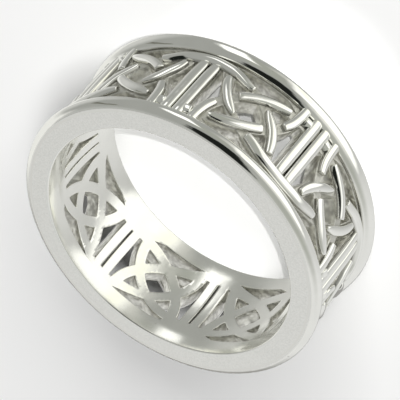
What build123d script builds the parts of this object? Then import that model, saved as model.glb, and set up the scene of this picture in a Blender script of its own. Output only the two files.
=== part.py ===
"""Celtic knot ring for a finger: one silver casting, lying on its lower flat face.

A plain rail runs round each edge of the band. Between the rails the band is pierced into knots of
four crossing strands each, with a pair of upright bars between neighbouring knots. Rounded rods
stand on the pierced web wherever a strand passes over another one. Every second knot is a mirror
image, so neighbours share an arch: above one pair of bars, and below the next.

The origin is the centre of the lower flat face, and +Z is the ring's own axis. Places on the band
are given as lengths around, measured at the bore, and across, measured from the middle of its width.
"""
import os
from math import atan2, cos, hypot, pi, sin, sqrt, tan

from build123d import *

# The band and the rails along its two edges, in millimetres
finger_diameter = 18.9
band_width = 8.55
rail_width = 1.25
rail_height = 2.08
rail_face_height = 1.59
rail_shoulder_depth = 0.50
rail_edge_slope = 0.25

# The pierced web between the rails, and the rods that stand on it
web_height = 1.40
web_hollow = 0.30
rod_height = 1.80
rod_width = 0.70
rod_crown = 0.16
web_ledge = 0.03
rod_root = 0.10
strand_width_inside = 0.82
bar_width_inside = 0.70
bar_slit_inside = 0.14
bar_gap_outside = 0.20

# Knots round the band, half of them mirror images
knot_count = 8

# Places in a knot, as shares of half a repeat around and of half the channel across
strand_tip = (0.634, 0.748)
strand_crossing = 0.496
arch_places = ((0.0, 0.883), (0.245, 0.853), (0.475, 0.793))
stub_places = ((0.634, 0.80), (0.645, 1.09))
tail_places = ((0.715, 0.87), (0.835, 0.88))
rail_hole_arch_tip = 0.606
rail_hole_stub_tip = 0.54
rail_hole_corner = 0.32
rail_hole_bend = 0.45
side_hole_foot = 0.625
side_hole_head = 0.764
slit_foot = 0.615
slit_head = 0.783
bar_foot = 1.09
bar_head = 0.727

# Where a strand lies on top, as shares of its way from one tip to the other
arch_strand_over = (0.472, 0.927)
arch_start = (0.25, 0.17)
stub_strand_over = (0.081, 0.556)
stub_start = (0.785, 0.90)
over_spans = 3

# Radii from the ring's axis, and lengths on the band laid flat at the bore
bore_radius = finger_diameter / 2
web_radius = bore_radius + web_height
rod_radius = bore_radius + rod_height
crest_radius = bore_radius + rail_height
crown_radius = rail_width - rail_shoulder_depth
half_channel = band_width / 2 - rail_width
half_repeat = pi * bore_radius / knot_count
web_scale = bore_radius / web_radius
bar_centre = (bar_gap_outside + rod_width) / 2
cut_reach = (rod_height - web_height) / 2
cut_radii = (bore_radius - cut_reach, web_radius + cut_reach)

# On the flat band a strand is an arc of one circle, through its two tips and its middle crossing
tip_around = strand_tip[0] * half_repeat
tip_across = strand_tip[1] * half_channel
crossing_across = strand_crossing * half_channel
centre_across = (tip_around**2 + tip_across**2 - crossing_across**2) / (2 * crossing_across)
centre_around = centre_across * tip_across / tip_around
strand_radius = hypot(centre_around, centre_across + crossing_across)


def band():
    """The plain band: two rails, and between them the lower web, a little hollow on the finger's side"""
    face_edge = (bore_radius + rail_face_height, band_width / 2)
    crest = (crest_radius, band_width / 2 - rail_shoulder_depth)
    crown_bend = (crest_radius - crown_radius * (1 - sqrt(0.5)), crest[1] - crown_radius * sqrt(0.5))
    crown_end = (crest_radius - crown_radius, half_channel)
    outline = [
        Line((bore_radius, half_channel), (bore_radius, band_width / 2)),
        Line((bore_radius, band_width / 2), face_edge),
        Spline(face_edge, crest, tangents=[(1, -rail_edge_slope), (0, -1)]),
        ThreePointArc(crest, crown_bend, crown_end),
        Line(crown_end, (bore_radius, half_channel)),
    ]
    rail = make_face(outline)
    upper_edge, lower_edge = (bore_radius, half_channel), (bore_radius, -half_channel)
    web_outline = [
        ThreePointArc(lower_edge, (bore_radius + web_hollow, 0), upper_edge),
        Polyline(upper_edge, (web_radius, half_channel), (web_radius, -half_channel), lower_edge),
    ]
    section = rail + make_face(web_outline) + mirror(rail, Plane.XZ)
    return Pos(0, 0, band_width / 2) * revolve(Plane.XZ * section, Axis.Z, 360)


def strand_circle(side, level, grow=0.0):
    """Circle (around, across, radius) of the strand that bulges towards one corner of its knot"""
    return (-side * centre_around, -level * centre_across, strand_radius + grow)


def meet(first, second, side, level):
    """Where two circles cross, at the crossing that lies furthest towards a direction"""
    span = hypot(second[0] - first[0], second[1] - first[1])
    step = ((second[0] - first[0]) / span, (second[1] - first[1]) / span)
    along = (span**2 + first[2] ** 2 - second[2] ** 2) / (2 * span)
    off = sqrt(first[2] ** 2 - along**2)
    foot = (first[0] + along * step[0], first[1] + along * step[1])
    spots = [(foot[0] - way * step[1], foot[1] + way * step[0]) for way in (-off, off)]
    return max(spots, key=lambda spot: spot[0] * side + spot[1] * level)


def across_at(circle, around, level):
    """Point of a circle at a given place around the band"""
    return (around, circle[1] + level * sqrt(circle[2] ** 2 - (around - circle[0]) ** 2))


def around_at(circle, across, side):
    """Point of a circle at a given place across the band"""
    return (circle[0] + side * sqrt(circle[2] ** 2 - (across - circle[1]) ** 2), across)


def bend(circle, start, end):
    """Middle of a circle's arc between two points on it"""
    reach = ((start[0] + end[0]) / 2 - circle[0], (start[1] + end[1]) / 2 - circle[1])
    scale = circle[2] / hypot(*reach)
    return (circle[0] + scale * reach[0], circle[1] + scale * reach[1])


def taper(inside, outside, radius):
    """A width that runs from its value where the web is hollowed most to its value at the web's top"""
    return outside + (inside - outside) * (web_radius - radius) / (web_height - web_hollow)


def knot_outlines(radius):
    """Holes of one knot on the flat band at one radius: (middle, corners, bends), or None if straight"""
    outside = (rod_width / 2 + web_ledge) * (1 + web_scale) / 2
    half = taper(strand_width_inside / 2, outside, radius)
    bar_reach_outside = (bar_centre + rod_width / 2 + web_ledge) * web_scale
    bar_side = half_repeat - taper(bar_slit_inside / 2 + bar_width_inside, bar_reach_outside, radius)
    edge = half_channel - web_ledge
    outlines = []

    # The middle hole, between all four strands
    inner = {(i, j): strand_circle(i, j, -half) for i in (-1, 1) for j in (-1, 1)}
    outer = {(i, j): strand_circle(i, j, half) for i in (-1, 1) for j in (-1, 1)}
    right = meet(inner[1, 1], inner[1, -1], 1, 0)
    top = meet(inner[1, 1], inner[-1, 1], 0, 1)
    left = meet(inner[-1, 1], inner[-1, -1], -1, 0)
    bottom = meet(inner[-1, -1], inner[1, -1], 0, -1)
    bends = [
        bend(inner[1, 1], right, top),
        bend(inner[-1, 1], top, left),
        bend(inner[-1, -1], left, bottom),
        bend(inner[1, -1], bottom, right),
    ]
    outlines.append((0, [right, top, left, bottom], bends))

    # Four small holes, each in the corner between three strands
    for i, j in inner:
        low = meet(outer[i, j], inner[-i, j], 0, j)
        tip = meet(inner[-i, j], inner[i, -j], i, j)
        high = meet(outer[i, j], inner[i, -j], i, 0)
        bends = [bend(inner[-i, j], low, tip), bend(inner[i, -j], tip, high), bend(outer[i, j], high, low)]
        outlines.append((i * tip_around / 2, [low, tip, high], bends))

    # A hole along each rail and one beside each pair of bars; the second of each is turned half round
    for way in (1, -1):
        apex = meet(outer[way, way], outer[-way, way], 0, way)
        stub_tip = across_at(outer[-way, way], way * rail_hole_stub_tip * half_repeat, way)
        corner = (way * rail_hole_corner * half_repeat, way * edge)
        arch_tip = (-way * rail_hole_arch_tip * half_repeat, way * edge)
        arch_bend = across_at(outer[way, way], arch_tip[0] * rail_hole_bend, way)
        bends = [bend(outer[-way, way], apex, stub_tip), None, None, arch_bend]
        outlines.append((0, [apex, stub_tip, corner, arch_tip], bends))

        apex = meet(outer[-way, -way], outer[-way, way], -way, 0)
        head = around_at(outer[-way, -way], way * side_hole_head * half_channel, -way)
        foot = around_at(outer[-way, way], -way * side_hole_foot * half_channel, -way)
        corners = [apex, head, (-way * bar_side, head[1]), (-way * bar_side, foot[1]), foot]
        bends = [bend(outer[-way, -way], apex, head), None, None, None, bend(outer[-way, way], foot, apex)]
        outlines.append((-way * (bar_side + tip_around) / 2, corners, bends))
    return outlines


def slit_outlines(radius):
    """The slit between a pair of bars that has its arch above"""
    half = taper(bar_slit_inside / 2, (bar_gap_outside / 2 - web_ledge) * web_scale, radius)
    head, foot = slit_head * half_channel, -slit_foot * half_channel
    return [(0, [(half, head), (-half, head), (-half, foot), (half, foot)], [None] * 4)]


def hole(middle, rings):
    """Cutter through the web, whose sides run radially between two outlines"""
    turn = middle / bore_radius
    wires = []
    for radius, (corners, bends) in zip(cut_radii, rings):

        def point(place):
            off = radius * tan(place[0] / bore_radius - turn)
            x, y = radius * cos(turn) - off * sin(turn), radius * sin(turn) + off * cos(turn)
            return Vector(x, y, band_width / 2 + place[1])

        edges = []
        for start, via, end in zip(corners, bends, corners[1:] + corners[:1]):
            if via is None:
                edges.append(Edge.make_line(point(start), point(end)))
            else:
                edges.append(Edge.make_three_point_arc(point(start), point(via), point(end)))
        wires.append(Wire(edges))
    return Solid.make_loft(wires, ruled=True)


def cutters(outlines):
    """Cutters for every hole that a function of the radius outlines"""
    levels = [outlines(radius) for radius in cut_radii]
    return [hole(low[0], (low[1:], high[1:])) for low, high in zip(*levels)]


def strand_place(share, side=1):
    """Point on a strand's centre line, at a share of its way from its upper tip to its lower tip"""
    start = atan2(tip_across + centre_across, -tip_around + centre_around)
    end = atan2(-tip_across + centre_across, tip_around + centre_around)
    angle = start + (end - start) * share
    return (side * (strand_radius * cos(angle) - centre_around), strand_radius * sin(angle) - centre_across)


def rod(places):
    """A rounded rod that stands on the web along a path on the band"""
    stretch = rod_radius / bore_radius
    wires = []
    for index, (around, across) in enumerate(places):
        before, after = places[max(index - 1, 0)], places[min(index + 1, len(places) - 1)]
        turn = around / bore_radius
        heading = atan2(after[1] - before[1], (after[0] - before[0]) * stretch)
        outward = Vector(cos(turn), sin(turn), 0)
        sideways = Vector(sin(turn) * sin(heading), -cos(turn) * sin(heading), cos(heading))
        middle = Vector(0, 0, band_width / 2 + across)

        def point(off, radius):
            return middle + outward * radius + sideways * off

        left_root, right_root = (point(way * rod_width / 2, web_radius - rod_root) for way in (-1, 1))
        left, right = (point(way * rod_width / 2, rod_radius - rod_crown) for way in (-1, 1))
        edges = [
            Edge.make_line(left_root, right_root),
            Edge.make_line(right_root, right),
            Edge.make_three_point_arc(right, point(0, rod_radius), left),
            Edge.make_line(left, left_root),
        ]
        wires.append(Wire(edges))
    return Solid.make_loft(wires, ruled=len(wires) == 2)


def knot_rods():
    """The rods of one knot: two half turns of a long rod on each pair of strands, a stub and a tail"""
    half_knot = []
    for over, side in ((arch_strand_over, 1), (stub_strand_over, -1)):
        step = (over[1] - over[0]) / over_spans
        half_knot.append([strand_place(over[0] + step * index, side) for index in range(over_spans + 1)])
    stub = [(-a * half_repeat, -b * half_channel) for a, b in stub_places]
    half_knot.append([strand_place(share, -1) for share in stub_start] + stub)
    half_knot.append([(-a * half_repeat, -b * half_channel) for a, b in tail_places])
    other_half = [[(-around, -across) for around, across in path] for path in half_knot]
    return [rod(path) for path in half_knot + other_half]


def pair_rods():
    """The rods of one pair of bars, and the arch that closes it above"""
    rise = [(half_repeat + around, across) for around, across in map(strand_place, arch_start)]
    rise += [(a * half_repeat, b * half_channel) for a, b in reversed(arch_places)]
    arch = rise + [(-around, across) for around, across in reversed(rise[:-1])]
    bar_around = bar_centre * bore_radius / rod_radius
    bars = [[(way * bar_around, -bar_foot * half_channel), (way * bar_around, bar_head * half_channel)]
            for way in (-1, 1)]
    return [rod(path) for path in [arch] + bars]


def spread(shapes, first_turn, flip):
    """Copies of one repeat's shapes all round the band, with every second repeat flipped over"""
    copies = []
    for index in range(knot_count):
        for shape in shapes:
            turned = shape.mirror(flip) if index % 2 else shape
            copies.append(turned.rotate(Axis.Z, first_turn + index * 360 / knot_count))
    return copies


middle_plane = Plane.XY.offset(band_width / 2)
first_pair = -180 / knot_count
holes = spread(cutters(knot_outlines), 0, Plane.XZ)
holes += spread(cutters(slit_outlines), first_pair, middle_plane)
rods = spread(knot_rods(), 0, Plane.XZ) + spread(pair_rods(), first_pair, middle_plane)
knot_ring = band().cut(*holes).fuse(*rods)

os.makedirs("parts", exist_ok=True)
export_step(knot_ring, "parts/knot_ring.step")
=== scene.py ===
from math import asin, atan2, cos, hypot, pi, radians, sin, sqrt

import bmesh
import bpy
from mathutils import Matrix, Vector


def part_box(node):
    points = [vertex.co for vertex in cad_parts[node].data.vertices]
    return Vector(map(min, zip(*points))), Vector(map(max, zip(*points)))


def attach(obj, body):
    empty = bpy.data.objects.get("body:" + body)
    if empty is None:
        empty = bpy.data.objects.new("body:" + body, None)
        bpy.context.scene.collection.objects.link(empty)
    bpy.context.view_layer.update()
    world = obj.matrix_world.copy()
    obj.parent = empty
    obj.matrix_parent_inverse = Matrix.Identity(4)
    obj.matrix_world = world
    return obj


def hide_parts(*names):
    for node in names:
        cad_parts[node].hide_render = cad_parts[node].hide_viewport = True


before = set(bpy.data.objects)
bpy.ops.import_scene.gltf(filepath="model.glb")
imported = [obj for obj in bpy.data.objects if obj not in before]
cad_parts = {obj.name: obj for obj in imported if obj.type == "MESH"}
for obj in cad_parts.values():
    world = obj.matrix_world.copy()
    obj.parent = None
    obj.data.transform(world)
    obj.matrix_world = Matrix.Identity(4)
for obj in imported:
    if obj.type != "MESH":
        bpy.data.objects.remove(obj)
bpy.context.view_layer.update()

# The pierced band. It is one silver casting, drawn here as it was cut: flat, on a strip as long as the
# bore is round. Every hole gets softly rounded rims, then the strip is bent round the finger. A quarter
# of the band holds one knot, its mirror image and two pairs of bars, and it is repeated four times.
millimetre = 0.001
ring_low, ring_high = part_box("knot_ring")
band_width = (ring_high.z - ring_low.z) / millimetre
bore_radius = 9.45
web_height = 1.40
web_hollow = 0.30
rail_width = 1.25
rod_width = 0.70
web_ledge = 0.03
strand_width_inside = 0.82
bar_width_inside = 0.70
bar_slit_inside = 0.14
bar_gap_outside = 0.20
knot_count = 8
quarters = 4
steps_in_quarter = 72
steps_across = 18
half_channel = band_width / 2 - rail_width
half_repeat = pi * bore_radius / knot_count
web_scale = bore_radius / (bore_radius + web_height)
bar_centre = (bar_gap_outside + rod_width) / 2
strip_start = -half_repeat + bar_centre * web_scale
strip_length = 2 * pi * bore_radius / quarters

# On the strip, a strand is an arc of one circle through its two tips and its middle crossing
tip_around = 0.634 * half_repeat
tip_across = 0.748 * half_channel
crossing_across = 0.496 * half_channel
centre_across = (tip_around**2 + tip_across**2 - crossing_across**2) / (2 * crossing_across)
centre_around = centre_across * tip_across / tip_around
strand_radius = hypot(centre_around, centre_across + crossing_across)


def strand_circle(side, level, grow):
    """Circle (around, across, radius) along one side of the strand that bulges towards a knot's corner"""
    return (-side * centre_around, -level * centre_across, strand_radius + grow)


def meet(first, second, side, level):
    """Where two circles cross, at the crossing that lies furthest towards a direction"""
    span = hypot(second[0] - first[0], second[1] - first[1])
    step = ((second[0] - first[0]) / span, (second[1] - first[1]) / span)
    along = (span**2 + first[2] ** 2 - second[2] ** 2) / (2 * span)
    off = sqrt(first[2] ** 2 - along**2)
    foot = (first[0] + along * step[0], first[1] + along * step[1])
    spots = [(foot[0] - way * step[1], foot[1] + way * step[0]) for way in (-off, off)]
    return max(spots, key=lambda spot: spot[0] * side + spot[1] * level)


def across_at(circle, around, level):
    """Point of a circle at a given place around the band"""
    return (around, circle[1] + level * sqrt(circle[2] ** 2 - (around - circle[0]) ** 2))


def around_at(circle, across, side):
    """Point of a circle at a given place across the band"""
    return (circle[0] + side * sqrt(circle[2] ** 2 - (across - circle[1]) ** 2), across)


def bend(circle, start, end):
    """Middle of a circle's arc between two points on it"""
    reach = ((start[0] + end[0]) / 2 - circle[0], (start[1] + end[1]) / 2 - circle[1])
    scale = circle[2] / hypot(*reach)
    return (circle[0] + scale * reach[0], circle[1] + scale * reach[1])


# How far the holes reach from a knot's middle. Those named around are in halves of a repeat, and the heads
# and feet, which lie across the band, are in halves of the channel.
rim_round = 0.06
stub_hole_around = 0.54
rail_hole_around = 0.32
arch_hole_around = 0.606
arch_bend_share = 0.45
bar_hole_head = 0.764
bar_hole_foot = 0.625
slit_head = 0.783
slit_foot = -0.615


def knot_outlines(height, rim):
    """Holes of one knot at a height above the bore, opened by a rim: pairs of (corners, bends)"""
    share = height / web_height
    outside = (rod_width / 2 + web_ledge) * (1 + web_scale) / 2
    half = strand_width_inside / 2 * (1 - share) + outside * share - rim
    bar_outside = (bar_centre + rod_width / 2 + web_ledge) * web_scale
    bar_inside = bar_slit_inside / 2 + bar_width_inside
    bar_side = half_repeat - bar_inside * (1 - share) - bar_outside * share + rim
    edge = half_channel - web_ledge - rim_round + rim
    inner = {(i, j): strand_circle(i, j, -half) for i in (-1, 1) for j in (-1, 1)}
    outer = {(i, j): strand_circle(i, j, half) for i in (-1, 1) for j in (-1, 1)}

    # The middle hole, then the four small ones in its corners
    right = meet(inner[1, 1], inner[1, -1], 1, 0)
    top = meet(inner[1, 1], inner[-1, 1], 0, 1)
    left = meet(inner[-1, 1], inner[-1, -1], -1, 0)
    bottom = meet(inner[-1, -1], inner[1, -1], 0, -1)
    bends = [bend(inner[1, 1], right, top), bend(inner[-1, 1], top, left),
             bend(inner[-1, -1], left, bottom), bend(inner[1, -1], bottom, right)]
    outlines = [([right, top, left, bottom], bends)]
    for i, j in inner:
        low = meet(outer[i, j], inner[-i, j], 0, j)
        tip = meet(inner[-i, j], inner[i, -j], i, j)
        high = meet(outer[i, j], inner[i, -j], i, 0)
        bends = [bend(inner[-i, j], low, tip), bend(inner[i, -j], tip, high), bend(outer[i, j], high, low)]
        outlines.append(([low, tip, high], bends))

    # A hole along each rail and one beside each pair of bars; the second of each is turned half round
    for way in (1, -1):
        apex = meet(outer[way, way], outer[-way, way], 0, way)
        stub_tip = across_at(outer[-way, way], way * (stub_hole_around * half_repeat + rim), way)
        corner = (way * (rail_hole_around * half_repeat + rim), way * edge)
        arch_tip = (-way * (arch_hole_around * half_repeat + rim), way * edge)
        arch_bend = across_at(outer[way, way], arch_tip[0] * arch_bend_share, way)
        bends = [bend(outer[-way, way], apex, stub_tip), None, None, arch_bend]
        outlines.append(([apex, stub_tip, corner, arch_tip], bends))
        apex = meet(outer[-way, -way], outer[-way, way], -way, 0)
        head = around_at(outer[-way, -way], way * (bar_hole_head * half_channel + rim), -way)
        foot = around_at(outer[-way, way], -way * (bar_hole_foot * half_channel + rim), -way)
        corners = [apex, head, (-way * bar_side, head[1]), (-way * bar_side, foot[1]), foot]
        bends = [bend(outer[-way, -way], apex, head), None, None, None, bend(outer[-way, way], foot, apex)]
        outlines.append((corners, bends))
    return outlines


def slit_outline(height, rim):
    """The slit between a pair of bars that has its arch above"""
    share = height / web_height
    outside = (bar_gap_outside / 2 - web_ledge) * web_scale
    half = bar_slit_inside / 2 * (1 - share) + outside * share + rim / 2
    head, foot = slit_head * half_channel + rim, slit_foot * half_channel - rim
    return ([(half, head), (-half, head), (-half, foot), (half, foot)], [None] * 4)


def trace(corners, bends, steps=10):
    """Points along an outline whose sides are straight or arcs through a middle point, and which of them
    are corners"""
    points, sharp = [], []
    for start, via, end in zip(corners, bends, corners[1:] + corners[:1]):
        sharp.append(len(points))
        points.append(start)
        if via is None:
            continue
        a, b, c = (Vector(place) for place in (start, via, end))
        turn = 2 * ((b - a).x * (c - a).y - (b - a).y * (c - a).x)
        across = Vector((-(c - a).y, (c - a).x)) * (b - a).length_squared
        centre = a - (across - Vector((-(b - a).y, (b - a).x)) * (c - a).length_squared) / turn
        first, last = atan2(*(a - centre).yx), atan2(*(c - centre).yx)
        sweep = (last - first + pi) % (2 * pi) - pi
        radius = (a - centre).length
        for step in range(1, steps):
            angle = first + sweep * step / steps
            points.append((centre.x + radius * cos(angle), centre.y + radius * sin(angle)))
    return points, sharp


# Each level is a height above the bore, and how far the holes open there to round their rims
corner_round = 0.055
rim_levels = [(0.0, rim_round), (0.012, 0.025), (rim_round, 0.0), (0.48, 0.0), (0.92, 0.0),
              (web_height - rim_round, 0.0), (web_height - 0.012, 0.025), (web_height, rim_round)]


def add_wall(strip, outline, shift, flip_around, flip_across):
    """Wall of one hole through the strip, bridged up through its outlines, with rounded corners"""
    hole = bmesh.new()
    rings = []
    for height, rim in rim_levels:
        points, sharp = trace(*outline(height, rim))
        verts = [hole.verts.new((shift + flip_around * u, flip_across * v, height)) for u, v in points]
        known = set(hole.edges)
        for pair in zip(verts, verts[1:] + verts[:1]):
            hole.edges.new(pair)
        bmesh.ops.bevel(hole, geom=[verts[i] for i in sharp], offset=corner_round, offset_type="OFFSET",
                        segments=3, profile=0.5, affect="VERTICES", material=-1)
        rings.append([e for e in hole.edges if e not in known])
    for lower, upper in zip(rings, rings[1:]):
        bmesh.ops.bridge_loops(hole, edges=lower + upper)
    add_to(strip, hole)


def add_to(whole, piece):
    """Puts a piece's mesh into a larger one and clears it away"""
    mesh = bpy.data.meshes.new("piece")
    piece.to_mesh(mesh)
    piece.free()
    whole.from_mesh(mesh)
    bpy.data.meshes.remove(mesh)


strip = bmesh.new()
for shift, mirror in ((0, 1), (2 * half_repeat, -1)):
    for index in range(len(knot_outlines(0, 0))):
        add_wall(strip, lambda h, r, i=index: knot_outlines(h, r)[i], shift, mirror, 1)
for shift, mirror in ((half_repeat, -1), (3 * half_repeat, 1)):
    add_wall(strip, slit_outline, shift, 1, mirror)
for height, up in ((0.0, -1), (web_height, 1)):
    rims = [e for e in strip.edges if e.is_boundary and abs(e.verts[0].co.z - height) < 1e-4]
    around = [(strip_start, -half_channel), (strip_start + strip_length, -half_channel),
              (strip_start + strip_length, half_channel), (strip_start, half_channel)]
    frame_verts = [strip.verts.new((u, v, height)) for u, v in around]
    frame_edges = [strip.edges.new(pair) for pair in zip(frame_verts, frame_verts[1:] + frame_verts[:1])]
    bmesh.ops.triangle_fill(strip, use_beauty=True, edges=rims + frame_edges, normal=(0, 0, up))
cuts = [((strip_start + strip_length * step / steps_in_quarter, 0, 0), (1, 0, 0))
        for step in range(1, steps_in_quarter)]
cuts += [((0, half_channel * (2 * step / steps_across - 1), 0), (0, 1, 0))
         for step in range(1, steps_across)]
for place, facing in cuts:
    bmesh.ops.bisect_plane(strip, geom=strip.verts[:] + strip.edges[:] + strip.faces[:], dist=1e-6,
                           plane_co=place, plane_no=facing)
for vert in strip.verts:
    share = vert.co.z / web_height
    hollow = web_hollow * (1 - (vert.co.y / half_channel) ** 2)
    angle, radius = vert.co.x / bore_radius, bore_radius + vert.co.z + hollow * (1 - share)
    vert.co = (radius * cos(angle), radius * sin(angle), band_width / 2 + vert.co.y)
quarter = strip.verts[:] + strip.edges[:] + strip.faces[:]
for turn in range(1, quarters):
    copy = bmesh.ops.duplicate(strip, geom=quarter)
    bmesh.ops.rotate(strip, verts=[g for g in copy["geom"] if isinstance(g, bmesh.types.BMVert)],
                     cent=(0, 0, 0), matrix=Matrix.Rotation(turn * 2 * pi / quarters, 3, "Z"))

# The rails, turned in one piece with the band: a flat face, a shoulder that rolls over to the crest, and
# a round crown that runs down into the channel.
rail_face_height = 1.59
shoulder_depth = 0.50
shoulder_slope = 0.25
bore_edge_round = 0.10
rail_bore_middle = half_channel + 0.4
crown_steps = 12
shoulder_steps = 10
edge_steps = 4
crest_radius = min(ring_high.x, ring_high.y, -ring_low.x, -ring_low.y) / millimetre
crown_radius = rail_width - shoulder_depth
rail_outline = [(bore_radius + web_height, half_channel)]
for step in range(1, crown_steps + 1):
    angle = -pi / 2 + (pi / 2) * step / crown_steps
    rail_outline.append((crest_radius - crown_radius + crown_radius * cos(angle),
                         band_width / 2 - shoulder_depth + crown_radius * sin(angle)))
shoulder_start = Vector((crest_radius, band_width / 2 - shoulder_depth))
shoulder_end = Vector((bore_radius + rail_face_height, band_width / 2))
pull = (shoulder_end - shoulder_start).length
start_pull, end_pull = Vector((0, 1)) * pull, Vector((-1, shoulder_slope)).normalized() * pull
for step in range(1, shoulder_steps + 1):
    t = step / shoulder_steps
    place = (shoulder_start * (2 * t**3 - 3 * t**2 + 1) + start_pull * (t**3 - 2 * t**2 + t)
             + shoulder_end * (3 * t**2 - 2 * t**3) + end_pull * (t**3 - t**2))
    rail_outline.append(tuple(place))
face_edge_radius = shoulder_end.x
for step in range(edge_steps + 1):
    angle = pi / 2 * step / edge_steps
    rail_outline.append((bore_radius + bore_edge_round - bore_edge_round * sin(angle),
                         band_width / 2 - bore_edge_round + bore_edge_round * cos(angle)))
rail_outline += [(bore_radius, rail_bore_middle), (bore_radius, half_channel)]
start_angle = strip_start / bore_radius
for way in (1, -1):
    rail = bmesh.new()
    ring = [rail.verts.new((r * cos(start_angle), r * sin(start_angle), band_width / 2 + way * z))
            for r, z in rail_outline]
    edges = [rail.edges.new(pair) for pair in zip(ring, ring[1:])]
    bmesh.ops.spin(rail, geom=ring + edges, cent=(0, 0, 0), axis=(0, 0, 1), dvec=(0, 0, 0),
                   angle=2 * pi, steps=quarters * steps_in_quarter, use_merge=True)
    add_to(strip, rail)
bmesh.ops.remove_doubles(strip, verts=strip.verts[:], dist=2e-4)
bmesh.ops.recalc_face_normals(strip, faces=strip.faces[:])

# Its finishes: polished rails, flat satin faces, a rough cast web, and the bore that the finger touches
on_rails, on_satin, on_web, on_bore = range(4)
facing_finger = -0.6
facing_up = 0.9995
sharp_edge = radians(50)
for face in strip.faces:
    face.smooth = True
    centre = face.calc_center_median()
    reach = hypot(centre.x, centre.y)
    on_rail = abs(centre.z - band_width / 2) > half_channel
    outward = (face.normal.x * centre.x + face.normal.y * centre.y) / reach
    if outward < facing_finger:
        face.material_index = on_bore
    elif on_rail:
        flat = abs(face.normal.z) > facing_up and reach < face_edge_radius
        face.material_index = on_satin if flat else on_rails
    else:
        face.material_index = on_web
for edge in strip.edges:
    if len(edge.link_faces) == 2:
        first, second = (f.material_index for f in edge.link_faces)
        satin_edge = on_satin in (first, second) and first != second
        edge.smooth = edge.calc_face_angle() < sharp_edge and not satin_edge
bmesh.ops.scale(strip, vec=(millimetre,) * 3, verts=strip.verts[:])
body_mesh = bpy.data.meshes.new("ring_body")
strip.to_mesh(body_mesh)
strip.free()
ring_body = bpy.data.objects.new("ring_body", body_mesh)
bpy.context.scene.collection.objects.link(ring_body)


# The silver's surface shows how each part of the ring was left. One group of nodes holds what the finishes
# share: grain, the long ripple of hand polishing, pits left by gas in the casting, a slow drift of tone,
# and the channel between the rails, which no wheel reaches, so it is left rougher. The pits and the
# channel are also given darker colours, which are painted shade: in the pits, at the foot of the rods and
# rails, and along the web's top between them. Sizes are in millimetres.
pit_spacing = 1.1
pit_centre, pit_edge = 0.05, 0.09
patch_size = 3.0
patch_from = 0.62
drift_size = 2.2
# The channel's mask runs from just below the web's top up the feet of the rods and rails. It makes them
# rougher, and mixes in a darker colour there that is painted shade
channel_fades = ((-0.06, 0.0), (0.24, 0.04))
surface = bpy.data.node_groups.new("silver_surface", "ShaderNodeTree")
for name, start in (("Grain Size", 0.1), ("Grain Depth", 0.2), ("Ripple Size", 1.5), ("Ripple Depth", 1.0),
                    ("Pit Depth", 0.0)):
    socket = surface.interface.new_socket(name=name, in_out="INPUT", socket_type="NodeSocketFloat")
    socket.default_value = start
for name in ("Height", "Grain", "Ripple", "Drift", "Pits", "Channel"):
    surface.interface.new_socket(name=name, in_out="OUTPUT", socket_type="NodeSocketFloat")
surface_in = surface.nodes.new("NodeGroupInput").outputs
surface_out = surface.nodes.new("NodeGroupOutput").inputs
place = surface.nodes.new("ShaderNodeTexCoord").outputs["Object"]


def add_math(tree, operation, *values):
    """A math node, fed with sockets or numbers"""
    node = tree.nodes.new("ShaderNodeMath")
    node.operation = operation
    for socket, value in zip(node.inputs, values):
        if isinstance(value, (int, float)):
            socket.default_value = value
        else:
            tree.links.new(value, socket)
    return node.outputs[0]


def speckle(size, detail):
    """Noise whose spots have a size in millimetres"""
    noise = surface.nodes.new("ShaderNodeTexNoise")
    noise.inputs["Detail"].default_value = detail
    surface.links.new(place, noise.inputs["Vector"])
    surface.links.new(add_math(surface, "DIVIDE", 1 / millimetre, size), noise.inputs["Scale"])
    return noise.outputs["Fac"]


grain = speckle(surface_in["Grain Size"], 3)
ripple = speckle(surface_in["Ripple Size"], 1)
cells = surface.nodes.new("ShaderNodeTexVoronoi")
cells.inputs["Scale"].default_value = 1 / (pit_spacing * millimetre)
surface.links.new(place, cells.inputs["Vector"])
pit = surface.nodes.new("ShaderNodeMapRange")
surface.links.new(cells.outputs["Distance"], pit.inputs["Value"])
for name, number in (("From Min", pit_centre), ("From Max", pit_edge), ("To Min", 1.0), ("To Max", 0.0)):
    pit.inputs[name].default_value = number
patches = add_math(surface, "GREATER_THAN", speckle(patch_size, 1), patch_from)
holed = add_math(surface, "MULTIPLY", pit.outputs[0], patches)
holed = add_math(surface, "MULTIPLY", holed, surface_in["Pit Depth"])
height = add_math(surface, "ADD", add_math(surface, "MULTIPLY", grain, surface_in["Grain Depth"]),
                  add_math(surface, "MULTIPLY", ripple, surface_in["Ripple Depth"]))
height = add_math(surface, "SUBTRACT", height, holed)
surface.links.new(height, surface_out["Height"])
surface.links.new(grain, surface_out["Grain"])
surface.links.new(ripple, surface_out["Ripple"])
surface.links.new(speckle(drift_size, 2), surface_out["Drift"])
surface.links.new(holed, surface_out["Pits"])
flat_place = surface.nodes.new("ShaderNodeVectorMath")
flat_place.operation = "MULTIPLY"
surface.links.new(place, flat_place.inputs[0])
flat_place.inputs[1].default_value = (1, 1, 0)
reach = surface.nodes.new("ShaderNodeVectorMath")
reach.operation = "LENGTH"
surface.links.new(flat_place.outputs["Vector"], reach.inputs[0])
above_web = add_math(surface, "SUBTRACT", reach.outputs["Value"], (bore_radius + web_height) * millimetre)
sides = []
for start, end in channel_fades:
    side = surface.nodes.new("ShaderNodeMapRange")
    low, high, first, last = (start, end, 0, 1) if start < end else (end, start, 1, 0)
    for name, number in (("From Min", low * millimetre), ("From Max", high * millimetre),
                         ("To Min", first), ("To Max", last)):
        side.inputs[name].default_value = number
    surface.links.new(above_web, side.inputs["Value"])
    sides.append(side.outputs[0])
surface.links.new(add_math(surface, "MULTIPLY", *sides), surface_out["Channel"])


# A dark colour mixed into the pits, as painted shade inside them
pit_shade_tone = (0.25, 0.24, 0.22)
noise_low, noise_high = 0.35, 0.65


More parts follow.
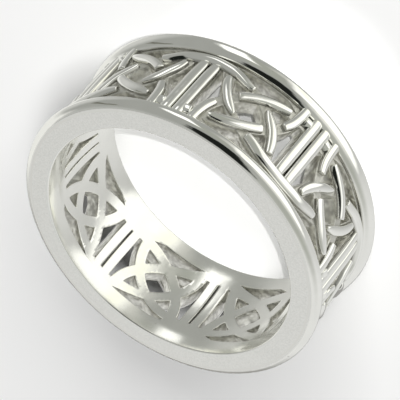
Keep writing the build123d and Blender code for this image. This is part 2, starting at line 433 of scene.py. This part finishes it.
def silver(name, sizes, bump, light, dark, shown, smooth, rough, channel_shade_tone, channel_rough):
    """A silver finish: the group's values, the bump in micrometres, two colours and the output that mixes
    them, the roughness, and the painted shade colour and the roughness down in the channel, where no wheel
    reaches"""
    material = bpy.data.materials.new(name)
    material.use_nodes = True
    tree = material.node_tree
    shader = tree.nodes["Principled BSDF"]
    shader.inputs["Metallic"].default_value = 1
    group = tree.nodes.new("ShaderNodeGroup")
    group.node_tree = surface
    for socket, value in sizes.items():
        group.inputs[socket].default_value = value
    relief = tree.nodes.new("ShaderNodeBump")
    relief.inputs["Distance"].default_value = bump * 1e-6
    tree.links.new(group.outputs["Height"], relief.inputs["Height"])
    tree.links.new(relief.outputs["Normal"], shader.inputs["Normal"])
    spread = tree.nodes.new("ShaderNodeMapRange")
    spread.inputs["From Min"].default_value = noise_low
    spread.inputs["From Max"].default_value = noise_high
    tree.links.new(group.outputs[shown], spread.inputs["Value"])
    colour = None
    # Painted shade: the colour goes darker in the channel and in the pits
    for mask, tone in ((spread.outputs[0], dark), (group.outputs["Channel"], channel_shade_tone),
                       (group.outputs["Pits"], pit_shade_tone)):
        mix = tree.nodes.new("ShaderNodeMix")
        mix.data_type = "RGBA"
        tree.links.new(mask, mix.inputs["Factor"])
        mix.inputs["B"].default_value = (*tone, 1)
        if colour is None:
            mix.inputs["A"].default_value = (*light, 1)
        else:
            tree.links.new(colour, mix.inputs["A"])
        colour = mix.outputs["Result"]
    tree.links.new(colour, shader.inputs["Base Color"])
    finish = tree.nodes.new("ShaderNodeMapRange")
    finish.inputs["To Min"].default_value = smooth
    finish.inputs["To Max"].default_value = rough
    tree.links.new(group.outputs["Drift"], finish.inputs["Value"])
    dulled = tree.nodes.new("ShaderNodeMapRange")
    tree.links.new(group.outputs["Channel"], dulled.inputs["Value"])
    tree.links.new(finish.outputs[0], dulled.inputs["To Min"])
    dulled.inputs["To Max"].default_value = channel_rough
    tree.links.new(dulled.outputs[0], shader.inputs["Roughness"])
    return material


# Each finish's channel tone is painted shade at the foot of the rods and rails
polished = silver(
    "polished_silver", bump=14.0, shown="Drift", light=(0.955, 0.955, 0.92), dark=(0.915, 0.917, 0.885),
    smooth=0.03, rough=0.08, channel_shade_tone=(0.46, 0.455, 0.425), channel_rough=0.22,
    sizes={"Grain Size": 0.25, "Grain Depth": 0.10, "Ripple Size": 1.1, "Ripple Depth": 1.0,
           "Pit Depth": 0.3})
satin = silver(
    "satin_silver", bump=7.0, shown="Grain", light=(0.98, 0.978, 0.95), dark=(0.88, 0.882, 0.852),
    smooth=0.33, rough=0.42, channel_shade_tone=(0.92, 0.915, 0.88), channel_rough=0.38,
    sizes={"Grain Size": 0.11, "Grain Depth": 1.0, "Ripple Size": 2.5, "Ripple Depth": 0.8})
cast = silver(
    "cast_silver", bump=34.0, shown="Ripple", light=(1.0, 0.995, 0.94), dark=(0.60, 0.592, 0.555),
    smooth=0.20, rough=0.55, channel_shade_tone=(0.66, 0.655, 0.61), channel_rough=0.45,
    sizes={"Grain Size": 0.14, "Grain Depth": 1.0, "Ripple Size": 0.45, "Ripple Depth": 2.6})
worn = silver(
    "bore_silver", bump=9.0, shown="Drift", light=(0.95, 0.95, 0.91), dark=(0.90, 0.90, 0.86),
    smooth=0.14, rough=0.22, channel_shade_tone=(0.90, 0.90, 0.86), channel_rough=0.20,
    sizes={"Grain Size": 0.20, "Grain Depth": 0.20, "Ripple Size": 0.9, "Ripple Depth": 1.0,
           "Pit Depth": 0.2})
for finish in (polished, satin, cast, worn):
    ring_body.data.materials.append(finish)
ring_body.modifiers.new("even_shading", "WEIGHTED_NORMAL").keep_sharp = True
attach(ring_body, "root")
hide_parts("knot_ring")

# The rods. Each is a half-round bar of the same casting, raised on the web where a strand passes over
# another one and stopped short where it dips under the next. Polishing has rounded and thinned their tips,
# and tilted the rods beside a rail towards it. What is named over is the share of a strand that is raised.
arch_strand_over, arch_strand_tips = (0.472, 0.927), ((0.45, 0.4), (0.75, 0.3))
stub_strand_over, stub_strand_tips = (0.081, 0.556), ((0.5, 0.1), (0.95, 0))
arch_strand_ends = (0.25, 0.17)
stub_strand_ends = (0.785, 0.90)
# Places are halves of a repeat around and halves of the channel across, from the middle of a knot or arch
arch_places, arch_tips = ((0.0, 0.883), (0.245, 0.853), (0.475, 0.793)), ((0.8, 0.2), (0.7, 0.3))
stub_places, stub_tips = ((0.634, 0.80), (0.645, 1.09)), ((0.8, 0.2), (1, 0))
tail_places, tail_tips = ((0.715, 0.87), (0.835, 0.88)), ((1, 0), (1, 0))
bar_head, bar_length, bar_tips = 0.727, 1.817, ((1, 0), (0.9, 0.3))
strand_steps = 12
bar_steps = 10
rod_crown_steps = 10
rod_height = 1.80
web_radius = bore_radius + web_height
rod_radius = bore_radius + rod_height
rod_root = 0.16
rod_crown = 0.11
rod_corner = 0.08
tip_round = 0.07
taper_reach = 1.0
dip_reach = 2.2
dip_depth = 0.33
rail_lean = 28
lean_depth = 0.10
bar_breadth = 1.11
crown_inset = 0.01
crown_reach = rod_width / 2 - rod_corner * (1 - sqrt(0.5)) - crown_inset
crown_bow = (crown_reach**2 + rod_crown**2) / (2 * rod_crown)
crown_half_angle = asin(crown_reach / crown_bow)
shoulder = rod_radius - rod_crown - rod_corner


def strand_place(share, side=1):
    """Point on a strand's centre line, at a share of its way from its upper tip to its lower tip"""
    start = atan2(tip_across + centre_across, -tip_around + centre_around)
    end = atan2(-tip_across + centre_across, tip_around + centre_around)
    angle = start + (end - start) * share
    return Vector((side * (strand_radius * cos(angle) - centre_around),
                   strand_radius * sin(angle) - centre_across))


def smooth_path(places, steps=5):
    """Points along a smooth line through a few places"""
    ends = [2 * places[0] - places[1]] + list(places) + [2 * places[-1] - places[-2]]
    path = []
    for a, b, c, d in zip(ends, ends[1:], ends[2:], ends[3:]):
        for step in range(steps):
            t = step / steps
            path.append(b + (c - a) * t / 2 + (a * 2 - b * 5 + c * 4 - d) * t**2 / 2
                        + (b * 3 - a - c * 3 + d) * t**3 / 2)
    return path + [places[-1]]


def add_rod(rods, places, tips, turn, flip_around, flip_across, breadth=1.0):
    """A rounded rod along a path on the web, which leans more the nearer it is to a rail. Each tip has a
    share of the full width, and of the dip that takes it down under the next strand"""
    frames = []
    lean_radius = rod_radius - lean_depth
    lengths = [(after - before).length for before, after in zip(places, places[1:])]
    for index, place in enumerate(places):
        narrow, dip = 0, 0
        for from_tip, tip in ((sum(lengths[:index]), tips[0]), (sum(lengths[index:]), tips[1])):
            narrow = max(narrow, (1 - tip[0]) * max(0, 1 - from_tip / taper_reach) ** 2)
            dip = max(dip, tip[1] * dip_depth * max(0, 1 - from_tip / dip_reach) ** 2)
        before, after = places[max(index - 1, 0)], places[min(index + 1, len(places) - 1)]
        step_around = (after - before).x * flip_around * rod_radius / bore_radius
        heading = atan2((after - before).y * flip_across, step_around)
        angle = place.x * flip_around / bore_radius + turn
        outward = Vector((cos(angle), sin(angle), 0))
        sideways = Vector((sin(angle) * sin(heading), -cos(angle) * sin(heading), cos(heading)))
        along = outward.cross(sideways)
        lean = radians(rail_lean) * sideways.z * place.y * flip_across / half_channel
        upright = outward * cos(lean) + sideways * sin(lean)
        aslant = sideways * cos(lean) - outward * sin(lean)
        middle = Vector((0, 0, band_width / 2 + place.y * flip_across)) + outward * (lean_radius - dip)
        middle -= upright * lean_radius
        turned = Matrix((aslant, upright, along)).transposed()
        frames.append(Matrix.LocRotScale(middle, turned, (breadth * (1 - narrow), 1, 1)))
    section = [(-rod_width / 2, web_radius - rod_root), (rod_width / 2, web_radius - rod_root)]
    for step in range(2):
        angle = pi / 4 * step
        section.append((rod_width / 2 - rod_corner * (1 - cos(angle)), shoulder + rod_corner * sin(angle)))
    for step in range(rod_crown_steps + 1):
        angle = crown_half_angle * (1 - 2 * step / rod_crown_steps)
        section.append((crown_bow * sin(angle), rod_radius - crown_bow * (1 - cos(angle))))
    section += [(-off, height) for off, height in reversed(section[2:4])]
    rod = bmesh.new()
    face = rod.faces.new([rod.verts.new(frames[0] @ Vector((x, y, 0))) for x, y in section])
    ends = [face]
    for before, after in zip(frames, frames[1:]):
        grown = bmesh.ops.extrude_face_region(rod, geom=[face], use_keep_orig=True)["geom"]
        fresh = [g for g in grown if isinstance(g, bmesh.types.BMVert)]
        bmesh.ops.transform(rod, matrix=after @ before.inverted(), verts=fresh)
        if face is not ends[0]:
            bmesh.ops.delete(rod, geom=[face], context="FACES_ONLY")
        face = next(g for g in grown if isinstance(g, bmesh.types.BMFace))
    ends.append(face)
    bmesh.ops.recalc_face_normals(rod, faces=rod.faces[:])
    bmesh.ops.bevel(rod, geom=[e for end in ends for e in end.edges], offset=tip_round,
                    offset_type="OFFSET", segments=3, profile=0.5, affect="EDGES", material=-1)
    add_to(rods, rod)


rods = bmesh.new()
for index in range(knot_count):
    mirror = -1 if index % 2 else 1
    turn = index * 2 * pi / knot_count
    half_knot = []
    for (start, end), side, tips in ((arch_strand_over, 1, arch_strand_tips),
                                     (stub_strand_over, -1, stub_strand_tips)):
        strand = [strand_place(start + (end - start) * k / strand_steps, side)
                  for k in range(strand_steps + 1)]
        half_knot.append((strand, tips))
    stub = [strand_place(share, -1) for share in stub_strand_ends]
    stub += [Vector((-a * half_repeat, -b * half_channel)) for a, b in stub_places]
    half_knot.append((smooth_path(stub), stub_tips))
    tail = [Vector((-a * half_repeat, -b * half_channel)) for a, b in tail_places]
    half_knot.append((tail, tail_tips))
    for path, tips in half_knot + [([-place for place in path], tips) for path, tips in half_knot]:
        add_rod(rods, path, tips, turn, mirror, 1)
    rise = [Vector((half_repeat + p.x, p.y)) for p in map(strand_place, arch_strand_ends)]
    rise += [Vector((a * half_repeat, b * half_channel)) for a, b in reversed(arch_places)]
    arch = rise + [Vector((-p.x, p.y)) for p in reversed(rise[:-1])]
    add_rod(rods, smooth_path(arch), arch_tips, turn - pi / knot_count, 1, mirror)
    for bar_around in (-bar_centre * bore_radius / rod_radius, bar_centre * bore_radius / rod_radius):
        bar = [Vector((bar_around, half_channel * (bar_head - bar_length * k / bar_steps)))
               for k in range(bar_steps, -1, -1)]
        add_rod(rods, bar, bar_tips, turn - pi / knot_count, 1, mirror, bar_breadth)
for face in rods.faces:
    face.smooth = True
for edge in rods.edges:
    edge.smooth = len(edge.link_faces) == 2 and edge.calc_face_angle() < sharp_edge
bmesh.ops.scale(rods, vec=(millimetre,) * 3, verts=rods.verts[:])
rods_mesh = bpy.data.meshes.new("knot_rods")
rods.to_mesh(rods_mesh)
rods.free()
knot_rods = bpy.data.objects.new("knot_rods", rods_mesh)
bpy.context.scene.collection.objects.link(knot_rods)
knot_rods.data.materials.append(polished)
knot_rods.modifiers.new("even_shading", "WEIGHTED_NORMAL").keep_sharp = True
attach(knot_rods, "root")
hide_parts("knot_ring")

# The floor. It is a sheet of white paper that the ring lies on. It shows soft shadows, but polished metal
# doesn't mirror it: there the tent's own lower half shows, as it does when a ring is propped up clear.
floor_size = 0.6
paper_gap = 0.00002
floor_bmesh = bmesh.new()
bmesh.ops.create_grid(floor_bmesh, x_segments=1, y_segments=1, size=floor_size)
bmesh.ops.translate(floor_bmesh, vec=(0, 0, -paper_gap), verts=floor_bmesh.verts[:])
floor_mesh = bpy.data.meshes.new("floor")
floor_bmesh.to_mesh(floor_mesh)
floor_bmesh.free()
floor = bpy.data.objects.new("floor", floor_mesh)
bpy.context.scene.collection.objects.link(floor)
floor.visible_glossy = False
floor.visible_shadow = False
paper = bpy.data.materials.new("white_paper")
paper.use_nodes = True
paper_shader = paper.node_tree.nodes["Principled BSDF"]
paper_shader.inputs["Base Color"].default_value = (0.85, 0.85, 0.842, 1)
paper_shader.inputs["Roughness"].default_value = 0.9
paper_shader.inputs["Specular IOR Level"].default_value = 0.0
floor.data.materials.append(paper)

# The light tent. Pale cloth surrounds the ring, brighter behind it than in front, and white and grey cards
# stand low on the camera's side. The dark camera looks in between them from above.
world = bpy.data.worlds.new("light_tent")
bpy.context.scene.world = world
world.use_nodes = True
tent = world.node_tree
outwards = tent.nodes.new("ShaderNodeTexCoord").outputs["Generated"]
parts = tent.nodes.new("ShaderNodeSeparateXYZ")
tent.links.new(outwards, parts.inputs[0])


def fade(value, full, none):
    """A mask that runs smoothly from 1, where a value is at full, to 0, where it is at none"""
    node = tent.nodes.new("ShaderNodeMapRange")
    node.interpolation_type = "SMOOTHSTEP"
    tent.links.new(value, node.inputs["Value"])
    low, high, start, end = (full, none, 1, 0) if full < none else (none, full, 0, 1)
    for name, number in (("From Min", low), ("From Max", high), ("To Min", start), ("To Max", end)):
        node.inputs[name].default_value = number
    return node.outputs[0]


azimuth = add_math(tent, "ARCTAN2", parts.outputs["Y"], parts.outputs["X"])
elevation = add_math(tent, "ARCSINE", parts.outputs["Z"])


def card(left, right, low, high, edge, lean=0.0):
    """A mask in the shape of a card, from its four sides and the softness of its edge in degrees"""
    middle, half_width = radians((left + right) / 2), radians((right - left) / 2)
    height, half_height = radians((low + high) / 2), radians((high - low) / 2)
    aside = add_math(tent, "WRAP", add_math(tent, "SUBTRACT", azimuth, middle), pi, -pi)
    above = add_math(tent, "SUBTRACT", elevation, height)
    aside = add_math(tent, "ADD", aside, add_math(tent, "MULTIPLY", above, lean))
    soft = radians(edge) / 2
    masks = [fade(add_math(tent, "ABSOLUTE", value), half - soft, half + soft)
             for value, half in ((aside, half_width), (above, half_height))]
    return add_math(tent, "MULTIPLY", *masks)


def glow(towards, height, full, none):
    """A round mask about a direction, from its full and its outer angle in degrees"""
    dot = tent.nodes.new("ShaderNodeVectorMath")
    dot.operation = "DOT_PRODUCT"
    tent.links.new(outwards, dot.inputs[0])
    flat = cos(radians(height))
    aim_at = (flat * cos(radians(towards)), flat * sin(radians(towards)), sin(radians(height)))
    dot.inputs[1].default_value = aim_at
    return fade(dot.outputs["Value"], cos(radians(full)), cos(radians(none)))


cloth = tent.nodes.new("ShaderNodeRGB").outputs[0]
cloth.default_value = (0.36, 0.365, 0.345, 1)
for mask, colour in (
    # The cloth behind the ring and above it
    (glow(130, 5, 25, 112), (0.78, 0.78, 0.77)),
    (glow(25, -20, 5, 40), (0.60, 0.60, 0.58)),
    (card(30, 62, -45, 30, 12), (0.86, 0.86, 0.83)),
    (card(-200, -120, 25, 85, 50), (0.42, 0.43, 0.39)),
    # The cards
    (card(-91, -58, -32, 30, 14), (0.37, 0.38, 0.34)),
    (card(-96, -76, -70, -24, 14), (0.58, 0.58, 0.54)),
    (card(-150, -108, -10, 34, 26), (0.80, 0.80, 0.75)),
    (card(-154, -92, -66, 12, 13, 0.12), (1.2, 1.2, 1.15)),
    (card(-107, -96, -60, -10, 9, 0.12), (1.15, 1.15, 0.98)),
    (card(-62, -42, -38, 9, 7, 0.29), (1.3, 1.3, 1.26)),
    (card(68, 112, -55, 10, 20), (0.34, 0.335, 0.32)),
    (card(3, 8, 15, 42, 3), (0.15, 0.15, 0.12)),
    # The dark camera
    (glow(-75, 59, 13, 18), (0.012, 0.014, 0.012)),
    (glow(-70, 74, 12, 18), (0.012, 0.014, 0.012)),
    (glow(-87, 44, 5, 11), (0.012, 0.014, 0.012)),
):
    mix = tent.nodes.new("ShaderNodeMix")
    mix.data_type = "RGBA"
    tent.links.new(mask, mix.inputs["Factor"])
    tent.links.new(cloth, mix.inputs["A"])
    mix.inputs["B"].default_value = (*colour, 1)
    cloth = mix.outputs["Result"]
tent.links.new(cloth, tent.nodes["Background"].inputs["Color"])
world.cycles_visibility.diffuse = False


# The lamps. Two soft boxes on the camera's side light the paper and throw the ring's shadow away from it.
# A narrow lamp beside the lens whitens the paper that shows through the finger hole.
softbox_distance = 1.5
bore_lamp_distance = 0.3


def aim(lamp, towards, height, distance, target=(0, 0, 0)):
    """Stands a lamp in a direction from a place on the paper, and turns it to that place"""
    flat = cos(radians(height))
    away = Vector((flat * cos(radians(towards)), flat * sin(radians(towards)), sin(radians(height))))
    lamp.location = Vector(target) + away * distance
    lamp.rotation_euler = away.to_track_quat("Z", "Y").to_euler()
    lamp.visible_glossy = False
    bpy.context.scene.collection.objects.link(lamp)


for name, towards, height, width, tall, power in (
    ("high_lamp", -108, 52, 0.5, 0.5, 19.0),
    ("low_lamp", -86, 22, 1.1, 0.6, 27),
):
    data = bpy.data.lights.new(name, "AREA")
    data.shape = "RECTANGLE"
    data.size, data.size_y = width, tall
    data.energy = power
    aim(bpy.data.objects.new(name, data), towards, height, softbox_distance)
data = bpy.data.lights.new("bore_lamp", "SPOT")
data.spot_size = radians(3.9)
data.spot_blend = 0.25
data.shadow_soft_size = 0.001
data.energy = 2.1
aim(bpy.data.objects.new("bore_lamp", data), -97.5, 39.1, bore_lamp_distance, (-0.0007, -0.0042, 0))

# The camera. It is as high above the face of the ring as in the photograph, and rolled as it was, with the
# same long lens from about 17 cm.
camera_data = bpy.data.cameras.new("camera")
camera_data.lens = 221.6
camera_data.sensor_width = 36
camera_data.clip_start = 0.01
camera_data.clip_end = 10
camera = bpy.data.objects.new("camera", camera_data)
camera.location = (-0.01718, -0.12974, 0.11031)
camera.rotation_euler = (radians(-42.985), radians(30.343), radians(-159.186))
bpy.context.scene.collection.objects.link(camera)
bpy.context.scene.camera = camera
bpy.context.scene.view_settings.view_transform = "Standard"
